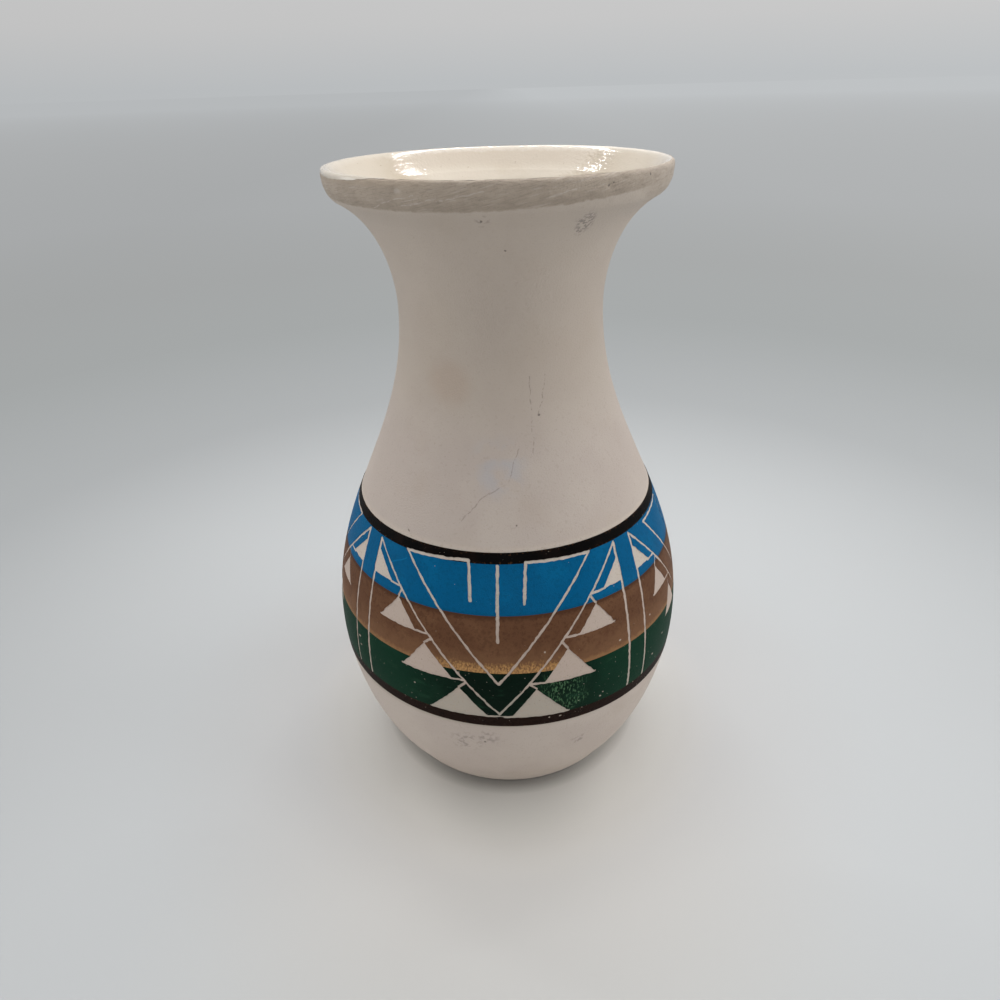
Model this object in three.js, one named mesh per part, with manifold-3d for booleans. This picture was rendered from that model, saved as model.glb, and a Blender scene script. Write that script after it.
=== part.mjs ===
// A pottery vase with a round belly, a drawn-in neck and a flared mouth: one slip-cast clay shell,
// a clear glaze lining inside it, and five coats of colour round the belly. Bare triangles are
// scratched through the coats, down to the clay.
// Millimetres, +Z up, with the front towards -Y. The origin is the centre of the foot, on the
// surface that the vase stands on.
import * as THREE from "three";
import { mergeVertices } from "three/addons/utils/BufferGeometryUtils.js";
import Module from "manifold-3d";

const wasm = await Module();
wasm.setup();

// The outer wall is three Bezier curves end to end. Angles are in degrees, out from the vertical,
// and a handle is the length of a curve's control arm.
const footEdgeRadius = 49;
const footEdgeHeight = 4;
const footFlareAngle = 41;
const footHandle = 12.6;
const bellyRadius = 65;
const bellyHeight = 57.5;
const bellyLowerHandle = 19.8;
const bellyUpperHandle = 46.9;
const neckRadius = 33.1;
const neckHeight = 174;
const neckLowerHandle = 45;
const neckUpperHandle = 5;
const flareRadius = 49.2;
const flareHeight = 206.4;
const flareAngle = 62;
const flareHandle = 16.5;

// The trimmed lip on top of the flare. Its face swells to the widest place, and its crest is turned
// over to either side.
const lipHeight = 8.8;
const lipRadius = 51.8;
const lipSwellHeight = 2.2;
const lipWidestHeight = 5.8;
const lipCrestInset = 1.9;
const lipThickness = 4.6;
const lipInsideDrop = 2.2;

// The shell and its foot
const wallThickness = 4.5;
const floorThickness = 6;
const floorCornerRadius = 9;
const footRingOuterRadius = 44;
const footRingWidth = 6;
const footRecessDepth = 1.5;
const footRecessSlope = 1;

// The lining and the colour coats
const glazeThickness = 0.45;
const coatThickness = 0.3;
const lowerLineHeight = 48.1;
const lowerLineWidth = 4.5;
const greenWidth = 18.5;
const brownWidth = 19.6;
const blueWidth = 16;
const upperLineWidth = 3.1;

// The ornament repeats round the belly. Each motif stands on a large V, and two upright lines part
// it from the next. The first motif was laid out wider than the others.
const motifCount = 4;
const firstMotifAngle = 97;
const firstMotifMiddle = -4.9;
const uprightPairAngle = 8.4;
const vTopBelowUpperLine = 1.2;
const vTipAboveLowerLine = 1.2;
const stripWidth = 4.5;

// The bare triangles on each arm of the V, from the top down. The rise is the height of the base
// above the lower line, and the reach is how far the base runs out from the V. The first one runs out
// to the upright, and the last one stands on the lower line.
const firstRise = 41.1;
const firstHeight = 8.1;
const secondRise = 28.7;
const secondHeight = 8.8;
const secondReach = 20.1;
const thirdRise = 14.9;
const thirdHeight = 10.9;
const thirdReach = 22.6;
const lastHeight = 11.1;
const lastReach = 25.5;

// Fineness of the surfaces, how far a cut reaches to either side of the wall, and how far the lowest
// ones run on past the green band
const turnSegments = 48;
const footSteps = 3;
const lowerWallSteps = 5;
const bandSteps = 3;
const upperWallSteps = 7;
const throatSteps = 7;
const lipFaceSteps = 3;
const crestOutsideSteps = 3;
const crestInsideSteps = 2;
const insideThroatSteps = 6;
const insideUpperSteps = 7;
const insideLowerSteps = 3;
const floorCornerSteps = 3;
const cutReach = 3;
const cutOverrun = 0.8;

const degrees = THREE.MathUtils.degToRad;

// A control point at a handle's length from a point, along an angle out from the vertical.
function handleFrom(point, angle, length) {
  const lean = degrees(angle);
  return new THREE.Vector2(point.x + length * Math.sin(lean), point.y + length * Math.cos(lean));
}

const footEdge = new THREE.Vector2(footEdgeRadius, footEdgeHeight);
const belly = new THREE.Vector2(bellyRadius, bellyHeight);
const neck = new THREE.Vector2(neckRadius, neckHeight);
const flare = new THREE.Vector2(flareRadius, flareHeight);

const lowerWall = new THREE.CubicBezierCurve(
  footEdge,
  handleFrom(footEdge, footFlareAngle, footHandle),
  handleFrom(belly, 0, -bellyLowerHandle),
  belly,
);
const upperWall = new THREE.CubicBezierCurve(
  belly,
  handleFrom(belly, 0, bellyUpperHandle),
  handleFrom(neck, 0, -neckLowerHandle),
  neck,
);
const throat = new THREE.CubicBezierCurve(
  neck,
  handleFrom(neck, 0, neckUpperHandle),
  handleFrom(flare, flareAngle, -flareHandle),
  flare,
);

// A place on the outer wall: its point, and the direction that points straight out of the wall.
function placeOn(curve, t) {
  const along = curve.getTangent(t);
  return { point: curve.getPoint(t), out: new THREE.Vector2(along.y, -along.x) };
}

// The place on the wall below the neck at a height.
function placeAt(height) {
  const curve = height < bellyHeight ? lowerWall : upperWall;
  let low = 0;
  let high = 1;
  for (let i = 0; i < 48; i++) {
    const middle = (low + high) / 2;
    if (curve.getPoint(middle).y < height) low = middle;
    else high = middle;
  }
  return placeOn(curve, (low + high) / 2);
}

function radiusAt(height) {
  return placeAt(height).point.x;
}

// The wall's places moved out by a distance, or in by a negative one.
function offset(places, distance) {
  return places.map(({ point, out }) => point.clone().addScaledVector(out, distance));
}

// Equal steps between two values, both ends included.
function steps(from, to, count) {
  return Array.from({ length: count + 1 }, (_, i) => from + ((to - from) * i) / count);
}

function placesBetween(from, to, count) {
  return steps(from, to, count).map(placeAt);
}

function placesAlong(curve, count) {
  return steps(0, 1, count).map((t) => placeOn(curve, t));
}

// Leaves out a point that repeats the one before it.
function withoutRepeats(points) {
  return points.filter((p, i) => i === 0 || p.distanceTo(points[i - 1]) > 1e-6);
}

const greenHeight = lowerLineHeight + lowerLineWidth;
const brownHeight = greenHeight + greenWidth;
const blueHeight = brownHeight + brownWidth;
const upperLineHeight = blueHeight + blueWidth;
const bandsTop = upperLineHeight + upperLineWidth;

const bands = [
  { name: "lower_black_line", from: lowerLineHeight, to: greenHeight, rows: 1, color: 0x1d1414 },
  { name: "green_band", from: greenHeight, to: brownHeight, rows: bandSteps, color: 0x1a4534 },
  { name: "brown_band", from: brownHeight, to: blueHeight, rows: bandSteps, color: 0x735240 },
  { name: "blue_band", from: blueHeight, to: upperLineHeight, rows: bandSteps, color: 0x1676b4 },
  { name: "upper_black_line", from: upperLineHeight, to: bandsTop, rows: 1, color: 0x171212 },
];

// The foot: a shallow recess, a flat ring to stand on and a soft edge up to the wall.
function footProfile() {
  const ringInner = footRingOuterRadius - footRingWidth;
  const underEdge = handleFrom(footEdge, footFlareAngle, -footEdgeHeight);
  const edge = new THREE.QuadraticBezierCurve(
    new THREE.Vector2(footRingOuterRadius, 0),
    underEdge,
    footEdge,
  );
  return [
    new THREE.Vector2(0, footRecessDepth),
    new THREE.Vector2(ringInner - footRecessSlope, footRecessDepth),
    new THREE.Vector2(ringInner, 0),
    ...edge.getPoints(footSteps),
  ];
}

function outsideProfile() {
  return [
    ...offset(placesBetween(footEdgeHeight, lowerLineHeight, lowerWallSteps), 0),
    ...bands.flatMap((band) => offset(placesBetween(band.from, band.to, band.rows), 0)),
    ...offset(placesBetween(bandsTop, neckHeight, upperWallSteps), 0),
    ...offset(placesAlong(throat, throatSteps), 0),
  ];
}

// The lip: a swelling outer face and a crest turned over to the outside and to the inside.
function lipProfile() {
  const top = flareHeight + lipHeight;
  const widest = new THREE.Vector2(lipRadius, flareHeight + lipWidestHeight);
  const crest = new THREE.Vector2(lipRadius - lipCrestInset, top);
  const inner = insideTop(0);
  const swell = new THREE.Vector2(lipRadius, flareHeight + lipSwellHeight);
  const face = new THREE.QuadraticBezierCurve(flare, swell, widest);
  const outerCorner = new THREE.Vector2(lipRadius, top);
  const crestOutside = new THREE.QuadraticBezierCurve(widest, outerCorner, crest);
  const innerCorner = new THREE.Vector2(inner.x, top);
  const crestInside = new THREE.QuadraticBezierCurve(crest, innerCorner, inner);
  return [
    ...face.getPoints(lipFaceSteps),
    ...crestOutside.getPoints(crestOutsideSteps),
    ...crestInside.getPoints(crestInsideSteps),
  ];
}

// The inside from the lip down to the middle of the floor, with something on the bare clay or not.
function insideProfile(covering) {
  const depth = wallThickness + covering;
  const floorHeight = footRecessDepth + floorThickness + covering;
  const wall = [
    ...placesAlong(throat, insideThroatSteps).reverse(),
    ...placesBetween(bellyHeight, neckHeight, insideUpperSteps).reverse(),
    ...placesBetween(floorHeight + floorCornerRadius, bellyHeight, insideLowerSteps).reverse(),
  ];
  const points = offset(wall, -depth);
  const cornerTop = points.at(-1);
  const corner = new THREE.QuadraticBezierCurve(
    cornerTop,
    new THREE.Vector2(cornerTop.x - floorCornerRadius / 3, floorHeight),
    new THREE.Vector2(cornerTop.x - floorCornerRadius, floorHeight),
  );
  return [...points, ...corner.getPoints(floorCornerSteps), new THREE.Vector2(0, floorHeight)];
}

// The inner end of the lip's crest, moved in by what covers the clay.
function insideTop(covering) {
  return new THREE.Vector2(
    lipRadius - lipThickness - covering,
    flareHeight + lipHeight - lipInsideDrop,
  );
}

// Turns a profile of (radius, height) points about Z.
function turned(profile) {
  const geometry = new THREE.LatheGeometry(withoutRepeats(profile), turnSegments);
  geometry.rotateX(Math.PI / 2);
  return positionsOnly(geometry);
}

// Turns the profile of a skin. Its facets are split along the same diagonals as those of the wall
// that it lies on, so the two faces meet without a gap.
function turnedSkin(profile) {
  const geometry = turned([...profile].reverse());
  const corners = geometry.index.array;
  for (let i = 0; i < corners.length; i += 3) {
    [corners[i + 1], corners[i + 2]] = [corners[i + 2], corners[i + 1]];
  }
  return geometry;
}

function positionsOnly(geometry) {
  geometry.deleteAttribute("normal");
  geometry.deleteAttribute("uv");
  return mergeVertices(geometry);
}

function solidOf(geometry) {
  const mesh = new wasm.Mesh({
    numProp: 3,
    vertProperties: geometry.attributes.position.array,
    triVerts: new Uint32Array(geometry.index.array),
  });
  return new wasm.Manifold(mesh);
}

function geometryOf(solid) {
  const mesh = solid.getMesh();
  const geometry = new THREE.BufferGeometry();
  geometry.setAttribute("position", new THREE.BufferAttribute(mesh.vertProperties, 3));
  geometry.setIndex(new THREE.BufferAttribute(mesh.triVerts, 1));
  return geometry;
}

// The middle of each motif and the angle from there to its upright lines, in degrees.
function motifs() {
  const otherAngle = (360 - firstMotifAngle) / (motifCount - 1);
  const others = Array.from({ length: motifCount - 1 }, (_, i) => ({
    middle: firstMotifMiddle + firstMotifAngle / 2 + (i + 0.5) * otherAngle,
    toUpright: (otherAngle - uprightPairAngle) / 2,
  }));
  const toUpright = (firstMotifAngle - uprightPairAngle) / 2;
  return [{ middle: firstMotifMiddle, toUpright }, ...others];
}

// The corners of a motif's bare triangles, as a distance round the wall from the motif's middle and
// a height. The arms of the V are straight when the wall is rolled out flat.
function triangleCorners(motif) {
  const vTop = upperLineHeight - vTopBelowUpperLine;
  const vTip = greenHeight + vTipAboveLowerLine;
  const uprightAt = (height) => radiusAt(height) * degrees(motif.toUpright);
  const vAt = (height) => (uprightAt(vTop) * (height - vTip)) / (vTop - vTip);
  const besideV = (bottom, top, reach) => [
    [vAt(top) + stripWidth, top],
    [vAt(bottom) + reach, bottom],
    [vAt(bottom) + stripWidth, bottom],
  ];
  const first = greenHeight + firstRise;
  const second = greenHeight + secondRise;
  const third = greenHeight + thirdRise;
  return [
    [
      [uprightAt(first + firstHeight), first + firstHeight],
      [uprightAt(first), first],
      [vAt(first) + stripWidth, first],
    ],
    besideV(second, second + secondHeight, secondReach),
    besideV(third, third + thirdHeight, thirdReach),
    besideV(greenHeight - cutOverrun, greenHeight + lastHeight, lastReach),
  ];
}

// A wedge that cuts one triangle straight through the coats. The side is 1 or -1.
function triangleCutter(corners, motif, side) {
  const ordered = side === 1 ? [...corners].reverse() : corners;
  const points = [-cutReach, cutReach].flatMap((reach) =>
    ordered.map(([across, height]) => {
      const radius = radiusAt(height);
      const angle = degrees(motif.middle) + (side * across) / radius;
      const from = radius + reach;
      return [from * Math.sin(angle), -from * Math.cos(angle), height];
    }),
  );
  const geometry = new THREE.BufferGeometry();
  geometry.setAttribute("position", new THREE.Float32BufferAttribute(points.flat(), 3));
  geometry.setIndex([0, 2, 1, 3, 4, 5, 0, 1, 4, 0, 4, 3, 1, 2, 5, 1, 5, 4, 2, 0, 3, 2, 3, 5]);
  return solidOf(geometry);
}

function allCutters() {
  return motifs().flatMap((motif) =>
    triangleCorners(motif).flatMap((corners) =>
      [1, -1].map((side) => triangleCutter(corners, motif, side)),
    ),
  );
}

function coatGeometry(band) {
  const places = placesBetween(band.from, band.to, band.rows);
  const outside = offset(places, coatThickness);
  const inside = offset(places, 0).reverse();
  return turnedSkin([...outside, ...inside, outside[0]]);
}

function liningGeometry() {
  const onClay = [insideTop(0), ...insideProfile(0)].reverse();
  const glazed = [insideTop(glazeThickness), ...insideProfile(glazeThickness)];
  return turnedSkin([...onClay, ...glazed]);
}

function shellGeometry() {
  return turned([...footProfile(), ...outsideProfile(), ...lipProfile(), ...insideProfile(0)]);
}

function addPiece(group, name, geometry, color, roughness) {
  const material = new THREE.MeshStandardMaterial({ color, roughness, metalness: 0 });
  const mesh = new THREE.Mesh(geometry, material);
  mesh.name = name;
  group.add(mesh);
}

const vase = new THREE.Group();
vase.name = "vase";
addPiece(vase, "clay_body", shellGeometry(), 0xd9ccc0, 0.85);
addPiece(vase, "interior_glaze", liningGeometry(), 0xe6ddcf, 0.12);

const cutters = allCutters();
for (const band of bands) {
  const isLine = band.rows === 1;
  const coat = coatGeometry(band);
  const cut = isLine ? coat : geometryOf(cutters.reduce((left, c) => left.subtract(c), solidOf(coat)));
  addPiece(vase, band.name, cut, band.color, 0.35);
}

export default vase;
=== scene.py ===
# Decorated pottery vase: bisque body, clear glazed inside, five satin colour coats with bare clay
# lines and triangles scratched through them. Sizes in the dictionaries are millimetres and degrees,
# apart from the studio's, which are metres.
import bpy
import bmesh
import math
import random
from functools import partial
from mathutils import Matrix, Vector, noise
from mathutils.geometry import interpolate_bezier
from types import SimpleNamespace


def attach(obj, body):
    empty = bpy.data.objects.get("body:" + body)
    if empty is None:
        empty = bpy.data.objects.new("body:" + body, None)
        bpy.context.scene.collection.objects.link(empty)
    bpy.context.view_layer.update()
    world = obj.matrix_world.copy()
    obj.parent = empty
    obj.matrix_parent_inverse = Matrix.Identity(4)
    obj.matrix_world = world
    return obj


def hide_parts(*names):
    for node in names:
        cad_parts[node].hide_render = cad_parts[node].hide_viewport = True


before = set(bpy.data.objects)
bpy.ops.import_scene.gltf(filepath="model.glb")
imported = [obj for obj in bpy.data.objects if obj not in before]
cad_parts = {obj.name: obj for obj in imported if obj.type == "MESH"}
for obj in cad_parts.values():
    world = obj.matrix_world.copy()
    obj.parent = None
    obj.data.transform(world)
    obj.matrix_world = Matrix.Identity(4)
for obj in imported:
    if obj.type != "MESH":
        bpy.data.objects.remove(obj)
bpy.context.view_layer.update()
scene = bpy.context.scene
mm = 0.001
print("stage: frame loaded")

# The turned form. The wall is three curves, from the foot edge over belly and neck to the flare.
form = {
    "footEdge": (49.0, 4.0),
    "footFlareAngle": 41,
    "footHandle": 12.6,
    "belly": (65.0, 57.5),
    "bellyLowerHandle": 19.8,
    "bellyUpperHandle": 46.9,
    "neck": (33.1, 174.0),
    "neckLowerHandle": 45.0,
    "neckUpperHandle": 5.0,
    "flare": (49.2, 206.4),
    "flareAngle": 62,
    "flareHandle": 16.5,
    "wallThickness": 4.5,
    "segments": 480,
    "wedges": 16,
    "mergeDistance": 0.002,
}


def handleFrom(point, angle, length):
    lean = math.radians(angle)
    return (point[0] + length * math.sin(lean), point[1] + length * math.cos(lean))


def curvePoints(a, b, c, d, count):
    knots = [Vector((*p, 0)) for p in (a, b, c, d)]
    return [(p.x, p.y) for p in interpolate_bezier(*knots, count + 1)]


def roundedCorner(a, corner, b, count):
    # A quadratic curve, written as the cubic that has the same shape
    first = tuple(a[i] + (corner[i] - a[i]) * 2 / 3 for i in (0, 1))
    second = tuple(b[i] + (corner[i] - b[i]) * 2 / 3 for i in (0, 1))
    return curvePoints(a, first, second, b, count)


def wallCurves(count):
    foot, belly, neck, flare = (form[name] for name in ("footEdge", "belly", "neck", "flare"))
    spans = [
        (foot, form["footFlareAngle"], form["footHandle"], belly, 0, form["bellyLowerHandle"]),
        (belly, 0, form["bellyUpperHandle"], neck, 0, form["neckLowerHandle"]),
        (neck, 0, form["neckUpperHandle"], flare, form["flareAngle"], form["flareHandle"]),
    ]
    points = [foot]
    for start, leaving, first, end, arriving, second in spans:
        handles = handleFrom(start, leaving, first), handleFrom(end, arriving, -second)
        points += curvePoints(start, *handles, end, count)[1:]
    return points


wall = wallCurves(400)


def wallAt(height):
    # Radius at a height, and the wall's outward direction as (radial, upward)
    low, high = 0, len(wall) - 1
    while high - low > 1:
        middle = (low + high) // 2
        if wall[middle][1] < height:
            low = middle
        else:
            high = middle
    (r0, z0), (r1, z1) = wall[low], wall[high]
    length = math.hypot(r1 - r0, z1 - z0)
    radius = r0 + (r1 - r0) * (height - z0) / (z1 - z0)
    return radius, (z1 - z0) / length, -(r1 - r0) / length


def offWall(height, distance):
    radius, outward, upward = wallAt(height)
    return (radius + outward * distance, height + upward * distance)


# The bands were sprayed a little out of level: each millimetre to the right lifts or drops them
bands = {
    "lowerLine": (48.1, 52.6),
    "green": (52.6, 71.1),
    "brown": (71.1, 90.7),
    "blue": (90.7, 106.2),
    "upperLine": (106.2, 109.5),
    "thickness": 0.16,
    "lowerTilt": -0.0197,
    "upperTilt": 0.0008,
    "rowHeight": 1.6,
}


def tiltAt(height):
    low, high = bands["green"][0], bands["blue"][1]
    share = min(1, max(0, (height - low) / (high - low)))
    return bands["lowerTilt"] + share * (bands["upperTilt"] - bands["lowerTilt"])


def onWall(angle, height, distance):
    # A place in the ornament, given as radians round from the front and a height, in metres
    radius = wallAt(height)[0]
    tilted = height + tiltAt(height) * radius * math.sin(angle)
    reach, place = offWall(tilted, distance)
    return Vector((reach * math.sin(angle), -reach * math.cos(angle), place)) * mm


def deselectAll():
    bpy.ops.object.select_all(action="DESELECT")


def selectMesh():
    bpy.ops.mesh.select_all(action="SELECT")


def startEdit():
    bpy.ops.object.mode_set(mode="EDIT")
    selectMesh()


def endEdit():
    # Turns all faces outwards and leaves edit mode
    selectMesh()
    bpy.ops.mesh.normals_make_consistent(inside=False)
    bpy.ops.object.mode_set(mode="OBJECT")


def nameNew(name):
    piece = bpy.context.active_object
    piece.name = name
    piece.data.name = name
    return piece


def editSelected(place):
    # Puts each selected vertex where the function says
    mesh = bmesh.from_edit_mesh(bpy.context.active_object.data)
    for vertex in [v for v in mesh.verts if v.select]:
        vertex.co = place(vertex)
    bmesh.update_edit_mesh(bpy.context.active_object.data)


def addModifier(piece, kind, **settings):
    modifier = piece.modifiers.new(kind.title(), kind)
    for name, value in settings.items():
        setattr(modifier, name, value)
    bpy.context.view_layer.objects.active = piece
    bpy.ops.object.modifier_apply(modifier=modifier.name)


def turnProfile(name, profile):
    # One vertex is extruded along the profile, which is spun about the vase's axis into a wedge.
    # The wedge is then doubled until it closes.
    deselectAll()
    bpy.ops.mesh.primitive_plane_add(size=1 * mm)
    piece = nameNew(name)
    startEdit()
    bpy.ops.mesh.merge(type="CENTER")
    bpy.ops.transform.translate(value=(0, -profile[0][0] * mm, profile[0][1] * mm))
    for (r0, z0), (r1, z1) in zip(profile, profile[1:]):
        step = (0, -(r1 - r0) * mm, (z1 - z0) * mm)
        bpy.ops.mesh.extrude_region_move(TRANSFORM_OT_translate={"value": step})
    selectMesh()
    steps, wedge = form["segments"] // form["wedges"], math.tau / form["wedges"]
    bpy.ops.mesh.spin(steps=steps, angle=wedge, center=(0, 0, 0), axis=(0, 0, 1))
    for turn in (1, 2, 4, 8):
        selectMesh()
        bpy.ops.mesh.duplicate()
        bpy.ops.transform.rotate(value=wedge * turn, orient_axis="Z", center_override=(0, 0, 0))
    selectMesh()
    bpy.ops.mesh.remove_doubles(threshold=form["mergeDistance"] * mm)
    endEdit()
    return piece


def smooth(piece, angle):
    deselectAll()
    piece.select_set(True)
    bpy.context.view_layer.objects.active = piece
    bpy.ops.object.shade_smooth_by_angle(angle=math.radians(angle))


def withoutRepeats(points):
    # Drops each point that lies on the one before it
    return [p for i, p in enumerate(points) if i == 0 or math.dist(p, points[i - 1]) > 0.004]


def spread(start, end, count):
    return [start + (end - start) * i / count for i in range(count + 1)]


def partWay(a, b, t):
    return (a[0] + (b[0] - a[0]) * t, a[1] + (b[1] - a[1]) * t)


# The bisque body: foot, wall, scraped lip and the inside that the glaze lies on
body = {
    "footRingOuter": 46.4,
    "footUnder": (48.4, 0.5),
    "footRingFlat": 41.0,
    "footRingInner": 38.0,
    "recessDepth": 1.5,
    "recessSlope": 1.0,
    "recessBend": 1.2,
    "floorThickness": 6.0,
    "floorCorner": 9.0,
    "floorRow": 20,
    "throatStart": 202.0,
    "lipRadius": 51.8,
    "lipSwellHeight": 208.6,
    "lipWidestHeight": 213.2,
    "crestRadius": 50.8,
    "lipTop": 214.8,
    "lipInsideStart": 204.0,
    "lipInsideHandle": 3.2,
    "lipInsideBend": (49.3, 214.0),
    # where the scraping starts, over what height it fades in, and what it leaves out on the inside
    "scrapeStart": 205.5,
    "scrapeFade": 2.5,
    "scrapeBeyond": (47.6, 50.2),
    "scrapeUpper": 209.5,
    "scrapeDepth": 0.16,
    "scrapeGrain": 3.4,
    "fineDepth": 0.1,
    "fineGrain": 1.1,
    "crestSinkStart": 214.0,
    "crestSink": 0.5,
}
lipChips = [
    # degrees round from the front, height, how wide, how deep
    (-28.8, 212.0, 1.4, 0.5),
    (32.6, 212.1, 1.1, 0.5),
    (34.2, 212.4, 0.8, 0.35),
    (52.5, 212.3, 0.8, 0.6),
    (66.0, 211.6, 0.8, 0.4),
    (-64.0, 209.6, 1.6, 0.35),
    (8.0, 207.9, 1.2, 0.3),
    (141.0, 211.0, 1.6, 0.5),
    (-128.0, 212.4, 1.1, 0.4),
    (203.0, 210.4, 1.3, 0.35),
]
lipWidest = (body["lipRadius"], body["lipWidestHeight"])
lipCorner = (body["lipRadius"], body["lipTop"])
crestTop = (body["crestRadius"], body["lipTop"])
floorTop = body["recessDepth"] + body["floorThickness"]


def lipInside(count):
    # From the inside of the throat up to the crest, in one easy curve
    start = offWall(body["lipInsideStart"], -form["wallThickness"])
    _, outward, upward = wallAt(body["lipInsideStart"])
    handle = body["lipInsideHandle"]
    bend = (start[0] - upward * handle, start[1] + outward * handle)
    return curvePoints(start, bend, body["lipInsideBend"], crestTop, count)


def insideDown(skin, rows, cornerRows):
    # Down the inside of the wall with a skin on it, and round the corner to the floor
    level, reach = floorTop + skin, body["floorCorner"]
    heights = spread(body["lipInsideStart"], floorTop + reach + skin, rows)
    points = [offWall(z, -(form["wallThickness"] + skin)) for z in heights]
    last = points[-1]
    ends = (last[0] - reach / 3, level), (last[0] - reach, level)
    return points + roundedCorner(last, *ends, cornerRows)


def bodyProfile():
    recess, edge, throat = body["recessDepth"], form["footEdge"], body["throatStart"]
    slopeTop = body["footRingInner"] - body["recessSlope"]
    bend = (slopeTop - body["recessBend"], recess)
    profile = [(0, recess), (body["floorRow"], recess)]
    profile += roundedCorner(bend, (slopeTop, recess), (body["footRingInner"], 0.0), 6)
    profile += [(body["footRingFlat"], 0.0)]
    profile += roundedCorner((body["footRingOuter"], 0.0), body["footUnder"], edge, 10)
    profile += [(wallAt(z)[0], z) for z in spread(edge[1], throat, 88)]
    profile += [p for p in wall if p[1] > throat][::26]
    swell = (body["lipRadius"], body["lipSwellHeight"])
    profile += roundedCorner(form["flare"], swell, lipWidest, 14)
    profile += roundedCorner(lipWidest, lipCorner, crestTop, 10)
    profile += lipInside(16)[::-1] + insideDown(0.0, 34, 6)
    return withoutRepeats(profile + [(0, floorTop)])


def scrapeLip(piece):
    # The lip was cut with a knife and rubbed with a sponge, so it is never quite round
    lowInside, highInside = body["scrapeBeyond"]
    for vertex in piece.data.vertices:
        place = vertex.co / mm
        radius = math.hypot(place.x, place.y)
        innermost = lowInside if place.z < body["scrapeUpper"] else highInside
        if place.z < body["scrapeStart"] or radius < innermost:
            continue
        share = min(1, (place.z - body["scrapeStart"]) / body["scrapeFade"])
        angle = math.degrees(math.atan2(place.x, -place.y))
        wide = noise.noise(Vector((place.x, place.y, place.z * 1.6)) / body["scrapeGrain"])
        fine = noise.noise(Vector((place.x, place.y, place.z * 2.2)) / body["fineGrain"])
        depth = body["scrapeDepth"] * max(0, 0.45 + wide) + body["fineDepth"] * max(0, 0.3 + fine)
        for chipAngle, chipHeight, width, chipDepth in lipChips:
            turn = (angle - chipAngle + 180) % 360 - 180
            away = math.hypot(math.radians(turn) * radius / 1.5, place.z - chipHeight) / width
            if away < 1:
                depth += chipDepth * (1 - away * away) ** 2
        pulled = max(0.2, (radius - depth * share)) / radius
        vertex.co.x *= pulled
        vertex.co.y *= pulled
        if place.z > body["crestSinkStart"]:
            vertex.co.z -= body["crestSink"] * depth * mm


clay = turnProfile("clay_shell", bodyProfile())
scrapeLip(clay)
smooth(clay, 50)
print("stage: clay body", len(clay.data.polygons), "faces")

# The clear glaze: poured inside and wiped off the lip, so its edge wanders over the crest
glaze = {
    "thickness": 0.45,
    "crestThickness": 0.3,
    "crestRows": 30,
    "edgeGrain": 2.6,
    "edgeWander": 0.35,
    # from which share of its way over the crest it thins out, over what share, and how deep it ends
    "taperStart": 0.8,
    "taperSpan": 0.2,
    "sunkBelow": -0.02,
    # how the skin over the crest is first laid out: how far, and how high
    "firstReach": 0.8,
    "firstLift": 0.4,
}
# How far the glaze runs over the crest, as a share of the way from the inside to the outer corner,
# at places round the lip
glazeReach = [
    (-180, 0.885), (-120, 0.875), (-95, 0.86), (-78, 0.93), (-62, 0.985), (-48, 0.95),
    (-38, 0.87), (-30, 0.838), (0, 0.84), (25, 0.835), (42, 0.83), (70, 0.83), (95, 0.83),
    (140, 0.908), (180, 0.885),
]

crest = withoutRepeats(lipInside(30) + roundedCorner(crestTop, lipCorner, lipWidest, 20))


def alongCrest(share):
    # The clay's crest from the inside, share 0, to below the outer corner, share 1
    spans = list(zip(crest, crest[1:]))
    left = share * sum(math.dist(a, b) for a, b in spans)
    for a, b in spans:
        length = math.dist(a, b)
        if left <= length:
            break
        left -= length
    outward = (-(b[1] - a[1]) / length, (b[0] - a[0]) / length)
    return partWay(a, b, min(1, left / length)), outward


def reachAt(angle):
    for (a0, s0), (a1, s1) in zip(glazeReach, glazeReach[1:]):
        if a0 <= angle <= a1:
            t = (angle - a0) / (a1 - a0)
            t = t * t * (3 - 2 * t)
            return s0 + (s1 - s0) * t
    return glazeReach[0][1]


def glazeProfile():
    # Up the glaze's surface to the lip, over the crest, and down again on the clay
    skin, rows = glaze["thickness"], glaze["crestRows"]
    surface = insideDown(skin, 60, 8) + [(x, floorTop + skin) for x in (body["floorRow"], 0)]
    under = insideDown(0.0, 30, 8) + [(x, floorTop) for x in (body["floorRow"], 0)]
    over = []
    for i in range(rows + 1):
        (across, height), _ = alongCrest(glaze["firstReach"] * i / rows)
        over.append((across - 0.0001 * i, height + glaze["firstLift"]))
    return withoutRepeats(surface[::-1]), over, withoutRepeats(under)


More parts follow.
